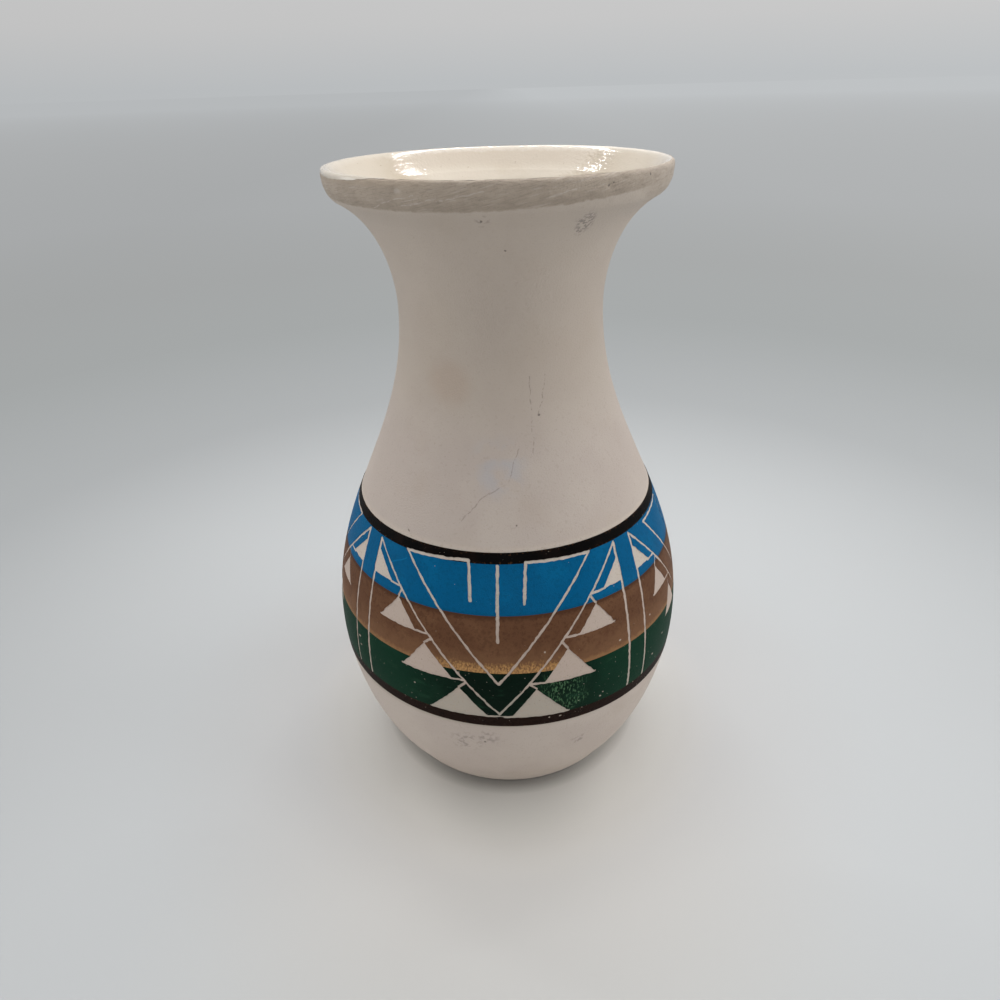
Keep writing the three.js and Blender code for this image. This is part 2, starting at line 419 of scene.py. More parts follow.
def buildGlaze():
    surface, over, under = glazeProfile()
    back = [(across, height - glaze["firstLift"]) for across, height in over]
    piece = turnProfile("glaze_lining", surface + over + back[::-1] + under)
    # Each row over the crest is then laid out again for its own place round the lip
    rows = {}
    for points, isOuter in ((over, True), (back, False)):
        for i, (across, height) in enumerate(points):
            rows[(round(across, 2), round(height, 2))] = (i, isOuter)
    for vertex in piece.data.vertices:
        place = vertex.co / mm
        radius = math.hypot(place.x, place.y)
        found = rows.get((round(radius, 2), round(place.z, 2)))
        if not found:
            continue
        row, isOuter = found
        angle = math.atan2(place.x, -place.y)
        reach = reachAt(math.degrees(angle))
        around = Vector((math.sin(angle) * 50, -math.cos(angle) * 50, 0))
        wander = noise.noise(around / glaze["edgeGrain"]) + 0.5 * noise.noise(around * 1.7)
        reach += glaze["edgeWander"] * 0.05 * wander
        t = row / glaze["crestRows"]
        (r, z), (outR, outZ) = alongCrest(reach * t)
        thin = min(1, t / 0.5)
        skin = glaze["thickness"] + thin * (glaze["crestThickness"] - glaze["thickness"])
        taper = max(0, (t - glaze["taperStart"]) / glaze["taperSpan"])
        rise = skin * (1 - taper ** 2) if isOuter else glaze["sunkBelow"]
        r += outR * rise
        z += outZ * rise
        vertex.co = Vector((r * math.sin(angle), -r * math.cos(angle), z)) * mm
    return piece


lining = buildGlaze()
smooth(lining, 60)
print("stage: glaze lining", len(lining.data.polygons), "faces")

# The scratched ornament. Distances run round the wall from the middle of a motif, and heights are
# above the table. The front motif was drawn by hand, so its two sides aren't quite alike.
ornament = {
    "motifs": 4,
    "frontAngle": 97.0,
    "frontMiddle": -4.9,
    "uprightPair": 8.4,
    "uprightLean": 0.5,
    "otherLean": -1.6,
    "uprightFoot": 0.3,
    # the lower tip and the top of the inner lines of the other three motifs
    "others": ((-3.5, 105.8), (0.8, 106.4), (1.0, 107.0)),
    "armTop": 106.5,
    "armTip": 53.8,
    "innerTip": 67.1,
    "armWidth": 0.9,
    "uprightWidth": 1.1,
    "barWidth": 1.05,
    "joinWidth": 0.85,
    "ringWidth": 0.75,
    "ringHeight": 52.75,
    "ringInset": 0.6,
    "cutDepth": 2.5,
    "edgeStep": 0.6,
    "edgeRoughness": 0.15,
}
frontMotif = {
    "tip": 1.9,
    "innerCorner": (-28.8, 31.2),
    "innerTop": (107.1, 106.9),
    "bar": ((-7.3, 108.0, -6.9, 96.0), (10.2, 107.4, 10.0, 95.0)),
    "middleLine": (1.55, 106.7, 1.8, 82.7),
    "firstBase": (95.0, 94.3),
    "firstTop": (103.6, 102.5),
    "firstStrip": (3.3, 4.6),
    # apex height and strip, far corner, near strip and height, where the upper side meets the arm
    "triangles": (
        (
            (91.5, 3.6, 41.5, 82.2, 4.5, 94.4),
            (78.8, 4.3, 32.1, 67.6, 4.0, 80.8),
            (64.6, 4.4, 22.0, 52.6, 4.7, 66.8),
        ),
        (
            (91.0, 4.4, 42.0, 82.3, 5.0, 93.8),
            (78.6, 3.9, 34.5, 66.9, 5.0, 81.0),
            (64.8, 4.0, 25.2, 52.4, 4.8, 66.9),
        ),
    ),
}


def otherMotif(scale, tip, innerTop):
    # The other three motifs are narrower, and are drawn alike on both sides
    side = (
        (90.2, 4.3, 41.0 * scale, 81.3, 4.6, 93.1),
        (78.5, 4.2, 33.2 * scale, 67.4, 4.6, 80.7),
        (64.0, 4.2, 23.9 * scale, 52.7, 5.0, 66.1),
    )
    corner = 30.4 * scale
    return {
        "tip": tip,
        "innerCorner": (-corner, corner),
        "innerTop": (innerTop, innerTop),
        "bar": ((-8.6, innerTop + 0.7, -8.2, 94.8), (8.6, innerTop + 0.7, 8.2, 94.8)),
        "middleLine": (0.1 + tip, 106.3, tip, 82.0),
        "firstBase": (94.4, 94.4),
        "firstTop": (102.6, 102.6),
        "firstStrip": (3.6, 3.6),
        "triangles": (side, side),
    }


randomEdges = random.Random(5)


def roughEdge(points):
    # Walks round an outline in short steps and moves each one a little, as a dragged tool does
    walked = []
    for a, b in zip(points, points[1:] + points[:1]):
        count = max(1, round(math.dist(a, b) / ornament["edgeStep"]))
        walked += [partWay(a, b, i / count) for i in range(count)]
    rough = ornament["edgeRoughness"]
    slides = [randomEdges.gauss(0, rough * 0.5) for _ in walked]
    count = len(walked)
    moved = []
    for i, (u, z) in enumerate(walked):
        after = (i + 1) % count
        (ua, za), (ub, zb) = walked[i - 1], walked[after]
        length = math.hypot(ub - ua, zb - za) or 1
        slide = slides[i] + 0.4 * (slides[i - 1] + slides[after])
        slide = max(-rough, min(rough, slide))
        moved.append((u + (zb - za) / length * slide, z - (ub - ua) / length * slide))
    return moved


def stroke(u0, z0, u1, z1, width):
    # The outline of one pull of the tool, with round ends
    length = math.hypot(u1 - u0, z1 - z0)
    du, dz = (u1 - u0) / length, (z1 - z0) / length
    half = width / 2
    outline = []
    for centre, start in (((u0, z0), math.pi / 2), ((u1, z1), -math.pi / 2)):
        for i in range(5):
            turn = start + math.pi * i / 4
            du2 = du * math.cos(turn) - dz * math.sin(turn)
            dz2 = du * math.sin(turn) + dz * math.cos(turn)
            outline.append((centre[0] + du2 * half, centre[1] + dz2 * half))
    return roughEdge(outline)


def motifOutlines(motif, toUpright):
    # Outlines in groups whose members don't touch, so that each group is one clean solid
    arms, inner, joins, tops, triangles, bars = [], [], [], [], [], []
    armWidth, joinWidth, barWidth = (ornament[key] for key in ("armWidth", "joinWidth", "barWidth"))
    topZ, tipZ, tip = ornament["armTop"], ornament["armTip"], motif["tip"]
    for index, side in ((0, -1), (1, 1)):
        uprightAt = lambda z: side * wallAt(z)[0] * math.radians(toUpright)
        topU = uprightAt(topZ)
        armAt = lambda z: tip + (topU - tip) * (z - tipZ) / (topZ - tipZ)
        arms.append([stroke(topU, topZ, tip, tipZ, armWidth)])
        corner = motif["innerCorner"][index], motif["innerTop"][index]
        inner.append([stroke(*corner, tip, ornament["innerTip"], armWidth)])
        bar = motif["bar"][index]
        tops.append(stroke(*corner, bar[0], bar[1], barWidth * 0.95))
        bars.append(stroke(*bar, barWidth))
        base, top, strip = (motif[key][index] for key in ("firstBase", "firstTop", "firstStrip"))
        near = armAt(base) + side * strip
        first = [(uprightAt(top), top), (uprightAt(base), base), (near, base)]
        triangles.append(roughEdge(first[::-side]))
        joins.append(stroke(armAt(base), base, near + side, base, joinWidth))
        for apexZ, apexStrip, tipU, tipHeight, nearStrip, meetZ in motif["triangles"][index]:
            apex = (armAt(apexZ) + side * apexStrip, apexZ)
            far = (side * tipU, tipHeight)
            nearPoint = (armAt(tipHeight) + side * nearStrip, tipHeight)
            triangles.append(roughEdge([apex, far, nearPoint][::-side]))
            joins.append(stroke(armAt(tipHeight), tipHeight, *far, joinWidth))
            tops.append(stroke(armAt(meetZ), meetZ, *apex, joinWidth))
    bars.append(stroke(*motif["middleLine"], barWidth))
    return [*arms, *inner, joins, tops, triangles, bars]


def throughWall(vertex):
    # Straight away from the vase's axis, to the outer end of a plug
    place = vertex.co / mm
    angle = math.atan2(place.x, -place.y)
    radial = Vector((math.sin(angle), -math.cos(angle), 0))
    return vertex.co + radial * 2 * ornament["cutDepth"] * mm


def cutterFrom(name, outlines):
    # Each outline, given as (radians, height) points, becomes a plug that runs through the wall
    deselectAll()
    bpy.ops.mesh.primitive_circle_add(vertices=3, radius=1 * mm)
    piece = nameNew(name)
    startEdit()
    bpy.ops.mesh.delete(type="VERT")
    for outline in outlines:
        bpy.ops.mesh.primitive_circle_add(vertices=len(outline), radius=1 * mm, fill_type="NGON")
        mesh = bmesh.from_edit_mesh(piece.data)
        ring = [v for v in mesh.verts if v.select]
        ring.sort(key=lambda v: math.atan2(v.co.y, v.co.x))
        for vertex, (angle, height) in zip(ring, outline):
            vertex.co = onWall(angle, height, -ornament["cutDepth"])
        bmesh.update_edit_mesh(piece.data)
        bpy.ops.mesh.extrude_region_move(TRANSFORM_OT_translate={"value": (0, 0, 0)})
        editSelected(throughWall)
        bpy.ops.mesh.select_all(action="DESELECT")
    selectMesh()
    bpy.ops.mesh.quads_convert_to_tris()
    endEdit()
    return piece


def roundWall(middle, outline):
    # An outline measured along the wall from this many degrees, as (radians, height) points
    return [(math.radians(middle) + u / wallAt(z)[0], z) for u, z in outline]


def allOutlines():
    # The groups of cuts for all the motifs, then the uprights and the lowest triangles' base line
    pitch = (360 - ornament["frontAngle"]) / (ornament["motifs"] - 1)
    toUpright = (ornament["frontAngle"] - ornament["uprightPair"]) / 2
    placed = [(ornament["frontMiddle"], toUpright, frontMotif)]
    otherUpright = (pitch - ornament["uprightPair"]) / 2
    for i, (tip, innerTop) in enumerate(ornament["others"]):
        middle = ornament["frontMiddle"] + ornament["frontAngle"] / 2 + (i + 0.5) * pitch
        placed.append((middle, otherUpright, otherMotif(otherUpright / toUpright, tip, innerTop)))
    groups = [[] for _ in range(8)]
    for middle, upright, motif in placed:
        for group, outlines in zip(groups, motifOutlines(motif, upright)):
            group += [roundWall(middle, outline) for outline in outlines]
    uprights, ring = [], []
    half = ornament["uprightWidth"] / 2
    top, bottom = ornament["armTop"], bands["green"][0] - ornament["uprightFoot"]
    for middle, upright, _ in placed:
        leaning = ornament["uprightLean" if upright == toUpright else "otherLean"]
        for side in (-1, 1):
            angle = math.radians(middle + side * upright)
            lean = side * math.radians(leaning)
            line = roughEdge([(-half, top), (-half, bottom), (half, bottom), (half, top)])
            uprights.append(
                [(angle - lean * (top - z) / (top - bottom) + u / wallAt(z)[0], z) for u, z in line]
            )
    height, inset = ornament["ringHeight"], ornament["ringInset"]
    for middle, _, motif in placed:
        left, right = (side[2][2] for side in motif["triangles"])
        line = stroke(-left + inset, height, right - inset, height, ornament["ringWidth"])
        ring.append(roundWall(middle, line))
    return groups + [uprights, ring]


def coatBand(name, low, high, cutters):
    # A ring at the band's lower edge, extruded upwards row by row, laid on the wall and cut through
    deselectAll()
    rows = max(3, round((high - low) / bands["rowHeight"]))
    bpy.ops.mesh.primitive_circle_add(vertices=432, radius=60 * mm, location=(0, 0, low * mm))
    piece = nameNew(name)
    bpy.ops.object.transform_apply(location=True, rotation=True, scale=True)
    startEdit()
    step = (0, 0, (high - low) / rows * mm)
    for _ in range(rows):
        bpy.ops.mesh.extrude_region_move(TRANSFORM_OT_translate={"value": step})
    selectMesh()
    editSelected(lambda v: onWall(math.atan2(v.co.x, -v.co.y), v.co.z / mm, 0))
    endEdit()
    face = piece.data.polygons[0]
    if face.normal.dot(Vector((face.center.x, face.center.y, 0))) < 0:
        startEdit()
        bpy.ops.mesh.flip_normals()
        bpy.ops.object.mode_set(mode="OBJECT")
    addModifier(piece, "SOLIDIFY", thickness=bands["thickness"] * mm, offset=1.0)
    for cutter in cutters:
        addModifier(piece, "BOOLEAN", operation="DIFFERENCE", solver="MANIFOLD", object=cutter)
    smooth(piece, 35)
    print("stage:", name, len(piece.data.polygons), "faces")
    return piece


cutters = [cutterFrom(f"cutter_{i}", group) for i, group in enumerate(allOutlines())]
print("stage: cutters", sum(len(c.data.polygons) for c in cutters), "faces")
coats = {}
for name in ("lowerLine", "green", "brown", "blue", "upperLine"):
    coats[name] = coatBand("coat_" + name, *bands[name], cutters)
for cutter in cutters:
    bpy.data.objects.remove(cutter)


# Materials. Every pattern reads the object's own coordinates, scaled to millimetres. A mask is a
# socket, a share, or a value with where the mask starts and where it is full.
def linear(code):
    # An sRGB hex colour as the linear values that Blender wants
    parts = [int(code[i : i + 2], 16) / 255 for i in (1, 3, 5)]
    return [p / 12.92 if p <= 0.04045 else ((p + 0.055) / 1.055) ** 2.4 for p in parts] + [1.0]


def addNode(material, kind, *values, out=0, ramp=None, **settings):
    # Adds a node with its settings. Values go to its sockets in order, and a dictionary names the
    # sockets of its own. A value that is a socket is linked.
    made = material.node_tree.nodes.new("ShaderNode" + kind)
    for name, value in settings.items():
        setattr(made, name, value)
    sockets = {}
    for i, value in enumerate(values):
        sockets |= value if isinstance(value, dict) else {i: value}
    for name, value in sockets.items():
        if isinstance(value, bpy.types.NodeSocket):
            material.node_tree.links.new(value, made.inputs[name])
        else:
            made.inputs[name].default_value = linear(value) if isinstance(value, str) else value
    if ramp:
        stops = made.color_ramp.elements
        while len(stops) < len(ramp):
            stops.new(0.5)
        for stop, (place, colour) in zip(stops, ramp):
            stop.position, stop.color = place, linear(colour)
    return made.outputs if out is None else made.outputs[out]


def emptied(owner):
    # A material or world whose nodes are still to be made
    owner.use_nodes = True
    owner.node_tree.nodes.clear()
    return owner


def where(m, *masks):
    # All the masks together
    together = None
    for mask in masks:
        if isinstance(mask, tuple):
            mask = addNode(m, "MapRange", *mask, interpolation_type="SMOOTHSTEP")
        if together is not None:
            mask = addNode(m, "Math", together, mask, operation="MULTIPLY")
        together = mask
    return together


def anyOf(m, first, *others):
    # The strongest of the masks at each point
    first = where(m, first)
    for other in others:
        first = addNode(m, "Math", first, where(m, other), operation="MAXIMUM")
    return first


def layOn(m, base, look, layers):
    # Lays the look's colours over the first one in turn, each as far as its masks let it
    for name, *masks in layers:
        sockets = {0: where(m, *masks), 6: base, 7: look[name]}
        base = addNode(m, "Mix", sockets, out=2, data_type="RGBA")
    return base


def patches(m, size, low, high, stretch=None, detail=3.0, place=None):
    # A mask of soft patches about this many millimetres wide, full where the noise is above high
    place = place or m.place
    if stretch:
        place = addNode(m, "Mapping", {"Vector": place, "Scale": stretch})
    cloud = addNode(m, "TexNoise", {"Vector": place, "Scale": 1 / size, "Detail": detail})
    return cloud, low, high


def ragged(m, size, value, start, end):
    # A mask from start to end whose border wanders in steps of about this many millimetres
    reach = 1.6 * abs(end - start)
    cloud = addNode(m, "TexNoise", {"Vector": m.place, "Scale": 1 / size, "Detail": 4.0})
    value = addNode(m, "Math", cloud, reach, value, operation="MULTIPLY_ADD")
    return value, start + reach / 2, end + reach / 2


def bandEdge(m, size, edge, start, end):
    # A ragged mask beside a band's edge, tilted as the sprayed bands are at that height
    level = addNode(m, "Math", m.across, -tiltAt(edge), m.height, operation="MULTIPLY_ADD")
    return ragged(m, size, level, start, end)


def startMaterial(name):
    # An empty material and its coordinates in millimetres
    material = emptied(bpy.data.materials.new(name))
    m = SimpleNamespace(material=material, node_tree=material.node_tree)
    metres = addNode(m, "TexCoord", out="Object")
    m.place = addNode(m, "VectorMath", metres, {"Scale": 1 / mm}, operation="SCALE")
    m.across, m.depth, m.height = addNode(m, "SeparateXYZ", m.place, out=None)
    return m


def frontPlace(m, wobble, size):
    # Where a point is seen from the front, shifted a little so that marks aren't ruled, and a mask
    # that keeps marks off the back
    flat = addNode(m, "CombineXYZ", m.across, 0.0, m.height)
    steps = {"Vector": m.place, "Scale": 1 / size, "Detail": 2.0}
    cloud = addNode(m, "TexNoise", steps, out="Color")
    shift = addNode(m, "VectorMath", cloud, (0.5, 0.5, 0.5), operation="SUBTRACT")
    reach = (wobble, 0.0, wobble)
    front = addNode(m, "Math", m.depth, 0.0, operation="LESS_THAN")
    return addNode(m, "VectorMath", shift, reach, flat, operation="MULTIPLY_ADD"), front


def nearLines(m, flat, lines, half):
    # A mask of broken lines given by their points as (across, height), fading over their width
    nearest = None
    for ends in [pair for points in lines for pair in zip(points, points[1:])]:
        a, b = (Vector((across, 0, height)) for across, height in ends)
        along = b - a
        unit = along / along.length_squared
        away = addNode(m, "VectorMath", flat, a, operation="SUBTRACT")
        share = addNode(m, "VectorMath", away, unit, out="Value", operation="DOT_PRODUCT")
        share = {"Scale": addNode(m, "Clamp", share)}
        foot = addNode(m, "VectorMath", along, share, operation="SCALE")
        gap = addNode(m, "VectorMath", away, foot, out="Value", operation="DISTANCE")
        if nearest:
            gap = addNode(m, "Math", nearest, gap, operation="MINIMUM")
        nearest = gap
    return nearest, half, half * 0.25


def nearSpots(m, flat, spots):
    # A mask of spots, each given as (across, height, radius)
    masks = []
    for across, height, radius in spots:
        spot = (across, 0, height)
        gap = addNode(m, "VectorMath", flat, spot, out="Value", operation="DISTANCE")
        masks.append((gap, radius, radius * 0.35))
    return anyOf(m, *masks)


def finish(m, colour, height, strength, depth, sockets):
    # The fine relief, the shader and the output
    relief = addNode(m, "Bump", {"Height": height, "Strength": strength, "Distance": depth * mm})
    sockets = {"Base Color": colour, "Normal": relief} | sockets
    addNode(m, "OutputMaterial", addNode(m, "BsdfPrincipled", sockets), out=None)
    return m.material


# Cream earthenware, cast in a mould and fired once. It is unglazed, so it is matt and slightly
# grainy, and it holds handling marks. The scraped lip is darker because its pores are open, and
# its face is also painted darker towards its lower edge as painted shade.
claySurface = {
    "clay": "#ab9f96",
    "paleClay": "#b3a89e",
    "warmClay": "#a39484",
    "neckClay": "#ab9f91",
    "footPaintedLight": "#b9aea4",
    "bandClay": "#ab9a8e",
    "dullClay": "#9d968a",
    "speck": "#83776c",
    "lipFace": "#a09384",
    "lipDarkAndShade": "#7c7064",
    "crestStrip": "#a0917f",
    "whiteClay": "#b9afa4",
    "mark": "#5f5650",
    "stain": "#a08a76",
    "coolStain": "#a1a1a6",
    "smudge": "#77706a",
    "roughness": 0.78,
    "hairlineHalf": 0.22,
    "scratchHalf": 0.2,
    # how the lip face's lower edge climbs: per millimetre across, and per millimetre squared
    "lipClimb": 0.035,
    "lipBow": 0.00076,
    "scrapeLean": 0.22,
}
hairlines = [
    ((7.9, 159.3), (9.0, 136.9)),
    ((12.7, 159.3), (11.6, 151.5), (10.6, 148.3)),
    ((4.5, 138.5), (1.0, 129.0), (-6.2, 125.6), (-14.2, 117.2)),
]
lipScratches = [
    ((-31.7, 207.8), (-28.7, 209.2), (-20.8, 211.4)),
    ((-24.0, 208.6), (-15.0, 210.6)),
    ((-15.0, 210.0), (-3.0, 212.4)),
    ((12.0, 210.4), (20.0, 212.0)),
]
# Marks on the front, as (across, height, radius)
claySpots = {
    "stain": [(-16.0, 156.9, 9.0)],
    "cool": [(-1.7, 133.3, 11.0)],
    "chip": [(-24.9, 212.0, 1.1)],
    "pits": [
        (10.8, 147.9, 0.55), (-31.3, 111.5, 0.4), (3.4, 117.3, 0.35),
        (-4.3, 204.7, 0.45), (1.8, 196.4, 0.4), (27.5, 211.9, 0.4),
        (28.6, 212.3, 0.35), (39.4, 213.2, 0.45), (-9.0, 38.4, 0.6),
    ],
    "scuffs": [(22.6, 202.6, 3.2), (23.4, 204.0, 2.6), (21.6, 200.4, 2.2)],
    "smudges": [(-15.5, 37.0, 7.0), (-8.0, 41.0, 5.0), (24.0, 33.0, 4.0), (-4.0, 205.0, 2.4)],
}


def buildClayLook():
    look = claySurface
    m = startMaterial("Bisque_earthenware")
    patch, across, height = partial(patches, m), m.across, m.height
    flat, front = frontPlace(m, 1.7, 3.6)
    spots = {name: nearSpots(m, flat, marks) for name, marks in claySpots.items()}
    pit = where(m, spots["pits"], front)
    lines = nearLines(m, flat, hairlines, look["hairlineHalf"])
    hairline = where(m, lines, patch(1.2, 0.4, 0.56))
    scratch = nearLines(m, flat, lipScratches, look["scratchHalf"])
    inBands = where(m, (height, 46.5, 48.5), (height, 111.5, 109.5))

    # The lip's face, whose lower edge climbs to the right, and the part of it that faces forward
    climb = addNode(m, "Math", across, -look["lipClimb"], height, operation="MULTIPLY_ADD")
    bow = addNode(m, "Math", across, across, operation="MULTIPLY")
    lipHeight = addNode(m, "Math", bow, -look["lipBow"], climb, operation="MULTIPLY_ADD")
    rightEnd = where(m, (across, 37.0, 44.0), ragged(m, 1.8, height, 206.0, 208.0))
    lip = anyOf(m, ragged(m, 1.8, lipHeight, 207.4, 208.1), rightEnd)
    off = addNode(m, "Math", across, 5.0, operation="ADD")
    off = addNode(m, "Math", off, operation="ABSOLUTE")
    facing = where(m, lip, (off, 56.0, 34.0))
    lean = addNode(m, "Math", across, -look["scrapeLean"], height, operation="MULTIPLY_ADD")
    slanted = addNode(m, "CombineXYZ", across, m.depth, lean)
    streak = patch(0.62, 0.5, 0.66, stretch=(0.2, 0.2, 2.2), place=slanted)
    paleStreak = patch(0.9, 0.56, 0.7, stretch=(0.16, 0.16, 2.0), place=slanted)

    layers = [
        ("paleClay", 0.5, patch(26, 0.42, 0.66)),
        ("warmClay", 0.22, patch(17, 0.5, 0.72)),
        ("speck", 0.16, patch(1.1, 0.6, 0.72, detail=2.0)),
        ("speck", 0.28, patch(0.45, 0.66, 0.74, detail=1.0)),
        ("neckClay", 0.5, (height, 132.0, 158.0)),
        # Painted light: the clay is painted paler over the lowest 13 mm, which lifts the shade next
        # to the floor
        ("footPaintedLight", 0.9, (height, 13.0, 2.0)),
        # The marks that the front of the neck and belly have
        ("stain", 0.3, spots["stain"], front),
        ("coolStain", 0.5, spots["cool"], patch(7, 0.4, 0.6), front),
        ("smudge", 0.55, spots["smudges"], patch(1.6, 0.5, 0.62), front),
        ("smudge", 0.8, spots["scuffs"], patch(0.9, 0.46, 0.58), front),
        ("mark", 0.42, hairline, front),
        ("mark", 0.9, pit),
        # The bare lines and triangles: whiter above, warmer and sandy with colour below
        ("bandClay", 0.9, inBands),
        ("dullClay", 0.8, inBands, (height, 65.0, 60.0)),
        ("whiteClay", 0.8, inBands, (height, 88.0, 93.0)),
        ("warmClay", 0.6, inBands, patch(0.7, 0.58, 0.66, detail=2.0)),
        ("mark", 0.45, inBands, patch(0.5, 0.68, 0.74, detail=1.0)),
        # The lip, scraped and sponged
        ("lipFace", 0.4, lip),
        ("lipFace", 0.9, facing),
        # Painted shade: the forward-facing lip face is painted darker towards its lower edge
        ("lipDarkAndShade", 0.3, facing, ragged(m, 1.4, lipHeight, 211.0, 208.4)),
        ("lipDarkAndShade", 0.2, facing, patch(5.0, 0.4, 0.66)),
        ("lipDarkAndShade", 0.42, lip, streak),
        ("paleClay", 0.4, lip, paleStreak),
        ("speck", 0.4, lip, patch(0.5, 0.57, 0.68)),
        ("paleClay", 0.6, scratch, patch(1.4, 0.36, 0.56), front),
        ("paleClay", 0.6, spots["chip"], front),
        ("crestStrip", 0.45, ragged(m, 1.0, height, 212.4, 213.4), (across, -12.0, -26.0)),
        ("mark", 0.8, lip, pit),
        # The foot picks up dirt where it stands
        ("smudge", 0.5, (height, 2.6, 0.0), patch(1.5, 0.42, 0.6)),
    ]
    colour = layOn(m, look["clay"], look, layers)

    grain = where(m, 0.35, patch(0.5, 0.3, 0.7, detail=4.0))
    scrape = where(m, 0.6, lip, patch(0.9, 0.3, 0.7, stretch=(0.4, 0.4, 1.4)))
    relief = addNode(m, "Math", grain, scrape, operation="ADD")
    marks = anyOf(m, where(m, 0.5, hairline), where(m, 0.6, pit))
    relief = addNode(m, "Math", relief, marks, operation="SUBTRACT", use_clamp=True)
    return finish(m, colour, relief, 0.55, 0.22, {"Roughness": look["roughness"]})


# Clear lead-free glaze over the same clay, poured in and emptied. It is glassy, a little warmer
# than the clay, and its skin has the slight waves that melted glaze keeps.
glazeSurface = {
    "glaze": "#c0b5a5",
    "pooled": "#b5a895",
    "paintedTopShade": "#b0a392",
    # paler glaze: thin glaze over the crest, and painted light towards the left and right ends
    "thin": "#c6bdb0",
    # painted highlight along the right of the crest
    "crest": "#e6ded2",
    "pinhole": "#8f8372",
    "roughness": 0.035,
    "ior": 1.52,
}


def buildGlazeLook():
    look = glazeSurface
    m = startMaterial("Clear_glaze_over_earthenware")
    patch, across, height = partial(patches, m), m.across, m.height
    offSquared = addNode(m, "Math", across, across, operation="MULTIPLY")
    layers = [
        ("pooled", 0.7, patch(14, 0.45, 0.7, stretch=(1, 1, 2.2))),
        # Painted shade: the glaze is painted darker towards the crest across the middle
        ("paintedTopShade", 0.85, (height, 206.0, 211.0), (offSquared, 1900, 700)),
        # Painted light: the glaze is painted paler towards the left and right ends
        ("thin", 0.25, (offSquared, 900, 1900)),
        ("thin", 0.7, ragged(m, 2.0, height, 213.0, 214.4)),
        # Painted highlight: a pale line along the crest on the right
        ("crest", 0.8, ragged(m, 0.5, height, 214.2, 214.8), (across, 12, 28)),
        ("pinhole", 0.6, patch(0.9, 0.74, 0.78, detail=1.0)),
    ]
    colour = layOn(m, look["glaze"], look, layers)
    waves = where(m, 0.55, patch(6.0, 0.2, 0.8, detail=2.0))
    ripple = where(m, 0.45, patch(0.9, 0.2, 0.8, detail=1.0))
    relief = addNode(m, "Math", waves, ripple, operation="ADD")
    sockets = {"Roughness": look["roughness"], "IOR": look["ior"]}
    return finish(m, colour, relief, 0.5, 0.13, sockets)


# Underglaze colour, sprayed on the bare clay and fired without a glaze over it. It is a thin,
# slightly sandy, satin skin, so it reflects little and its colour stays deep.
coatSurface = {
    "roughness": 0.5,
    "specular": 0.03,
    "scratchHalf": 0.25,
    "clayShows": "#a99d90",
    "black": "#050404",
    "redBlack": "#1f120d",
    "blackRust": "#5a3f2a",
    "blue": "#04517a",
    "blueDeep": "#044566",
    "bluePale": "#07618c",
    "brown": "#5c3f2d",
    "brownDeepAndShadow": "#432b1e",
    "brownPale": "#72533c",
    "tan": "#99734d",
    "gold": "#b78c57",
    "green": "#071810",
    "greenSide": "#0d3323",
    "greenDeep": "#06110c",
    "greenPale": "#163424",
    "scuff": "#4a6b4c",
}
whiteSpecks = [
    # across, height, radius of the chips that show the clay
    (-52.7, 66.1, 0.55), (-52.5, 62.6, 0.4), (-31.8, 61.4, 0.4), (50.9, 57.0, 0.45),
    (30.4, 54.1, 0.5), (31.2, 55.6, 0.35), (55.3, 61.2, 0.4), (11.3, 77.9, 0.4),
    (36.8, 73.7, 0.5), (48.6, 75.0, 0.4), (16.5, 50.6, 0.5), (12.9, 50.9, 0.4),
]
rubbedSpots = [(17.5, 63.0, 10.0), (20.5, 57.5, 6.0)]
blueScratch = [((-37.8, 100.2), (-32.0, 103.3))]


def finishCoat(m, colour, deep, pale, layers, wear):
    # The mottle that all coats share, a coat's own layers, its chips, and the sandy skin
    look = coatSurface
    flat, front = frontPlace(m, 0.5, 0.9)
    chips = where(m, nearSpots(m, flat, whiteSpecks), front)
    chips = anyOf(m, chips, patches(m, 0.62, wear, wear + 0.03, detail=1.0))
    mottle = [
        (pale, 0.35, patches(m, 9, 0.45, 0.7)),
        (deep, 0.4, patches(m, 1.3, 0.5, 0.66)),
        (deep, 0.5, patches(m, 0.5, 0.56, 0.68, detail=2.0)),
    ]
    colour = layOn(m, look[colour], look, mottle + layers + [("clayShows", 0.85, chips)])
    sockets = {"Roughness": look["roughness"], "Specular IOR Level": look["specular"]}
    return finish(m, colour, where(m, patches(m, 0.45, 0.25, 0.75)), 0.4, 0.1, sockets)


def buildBlackLook(name, line, colour, wear):
    # Rust brown shows in places along both edges of a black line
    m = startMaterial(name)
    low, high = bands[line]
    edges = bandEdge(m, 1.0, low, low + 0.9, low), bandEdge(m, 1.0, high, high - 0.9, high)
    layers = [("blackRust", 0.6, anyOf(m, *edges), patches(m, 0.7, 0.56, 0.66))]
    return finishCoat(m, colour, "black", "redBlack", layers, wear)


def buildBlueLook():
    m = startMaterial("Blue_underglaze")
    low = bands["blue"][0]
    flat, front = frontPlace(m, 0.5, 3.0)
    scratch = nearLines(m, flat, blueScratch, coatSurface["scratchHalf"])
    layers = [
        ("blueDeep", 0.6, bandEdge(m, 1.2, low, low + 1.4, low)),
        ("bluePale", 0.9, scratch, front),
    ]
    return finishCoat(m, "blue", "blueDeep", "bluePale", layers, 0.8)


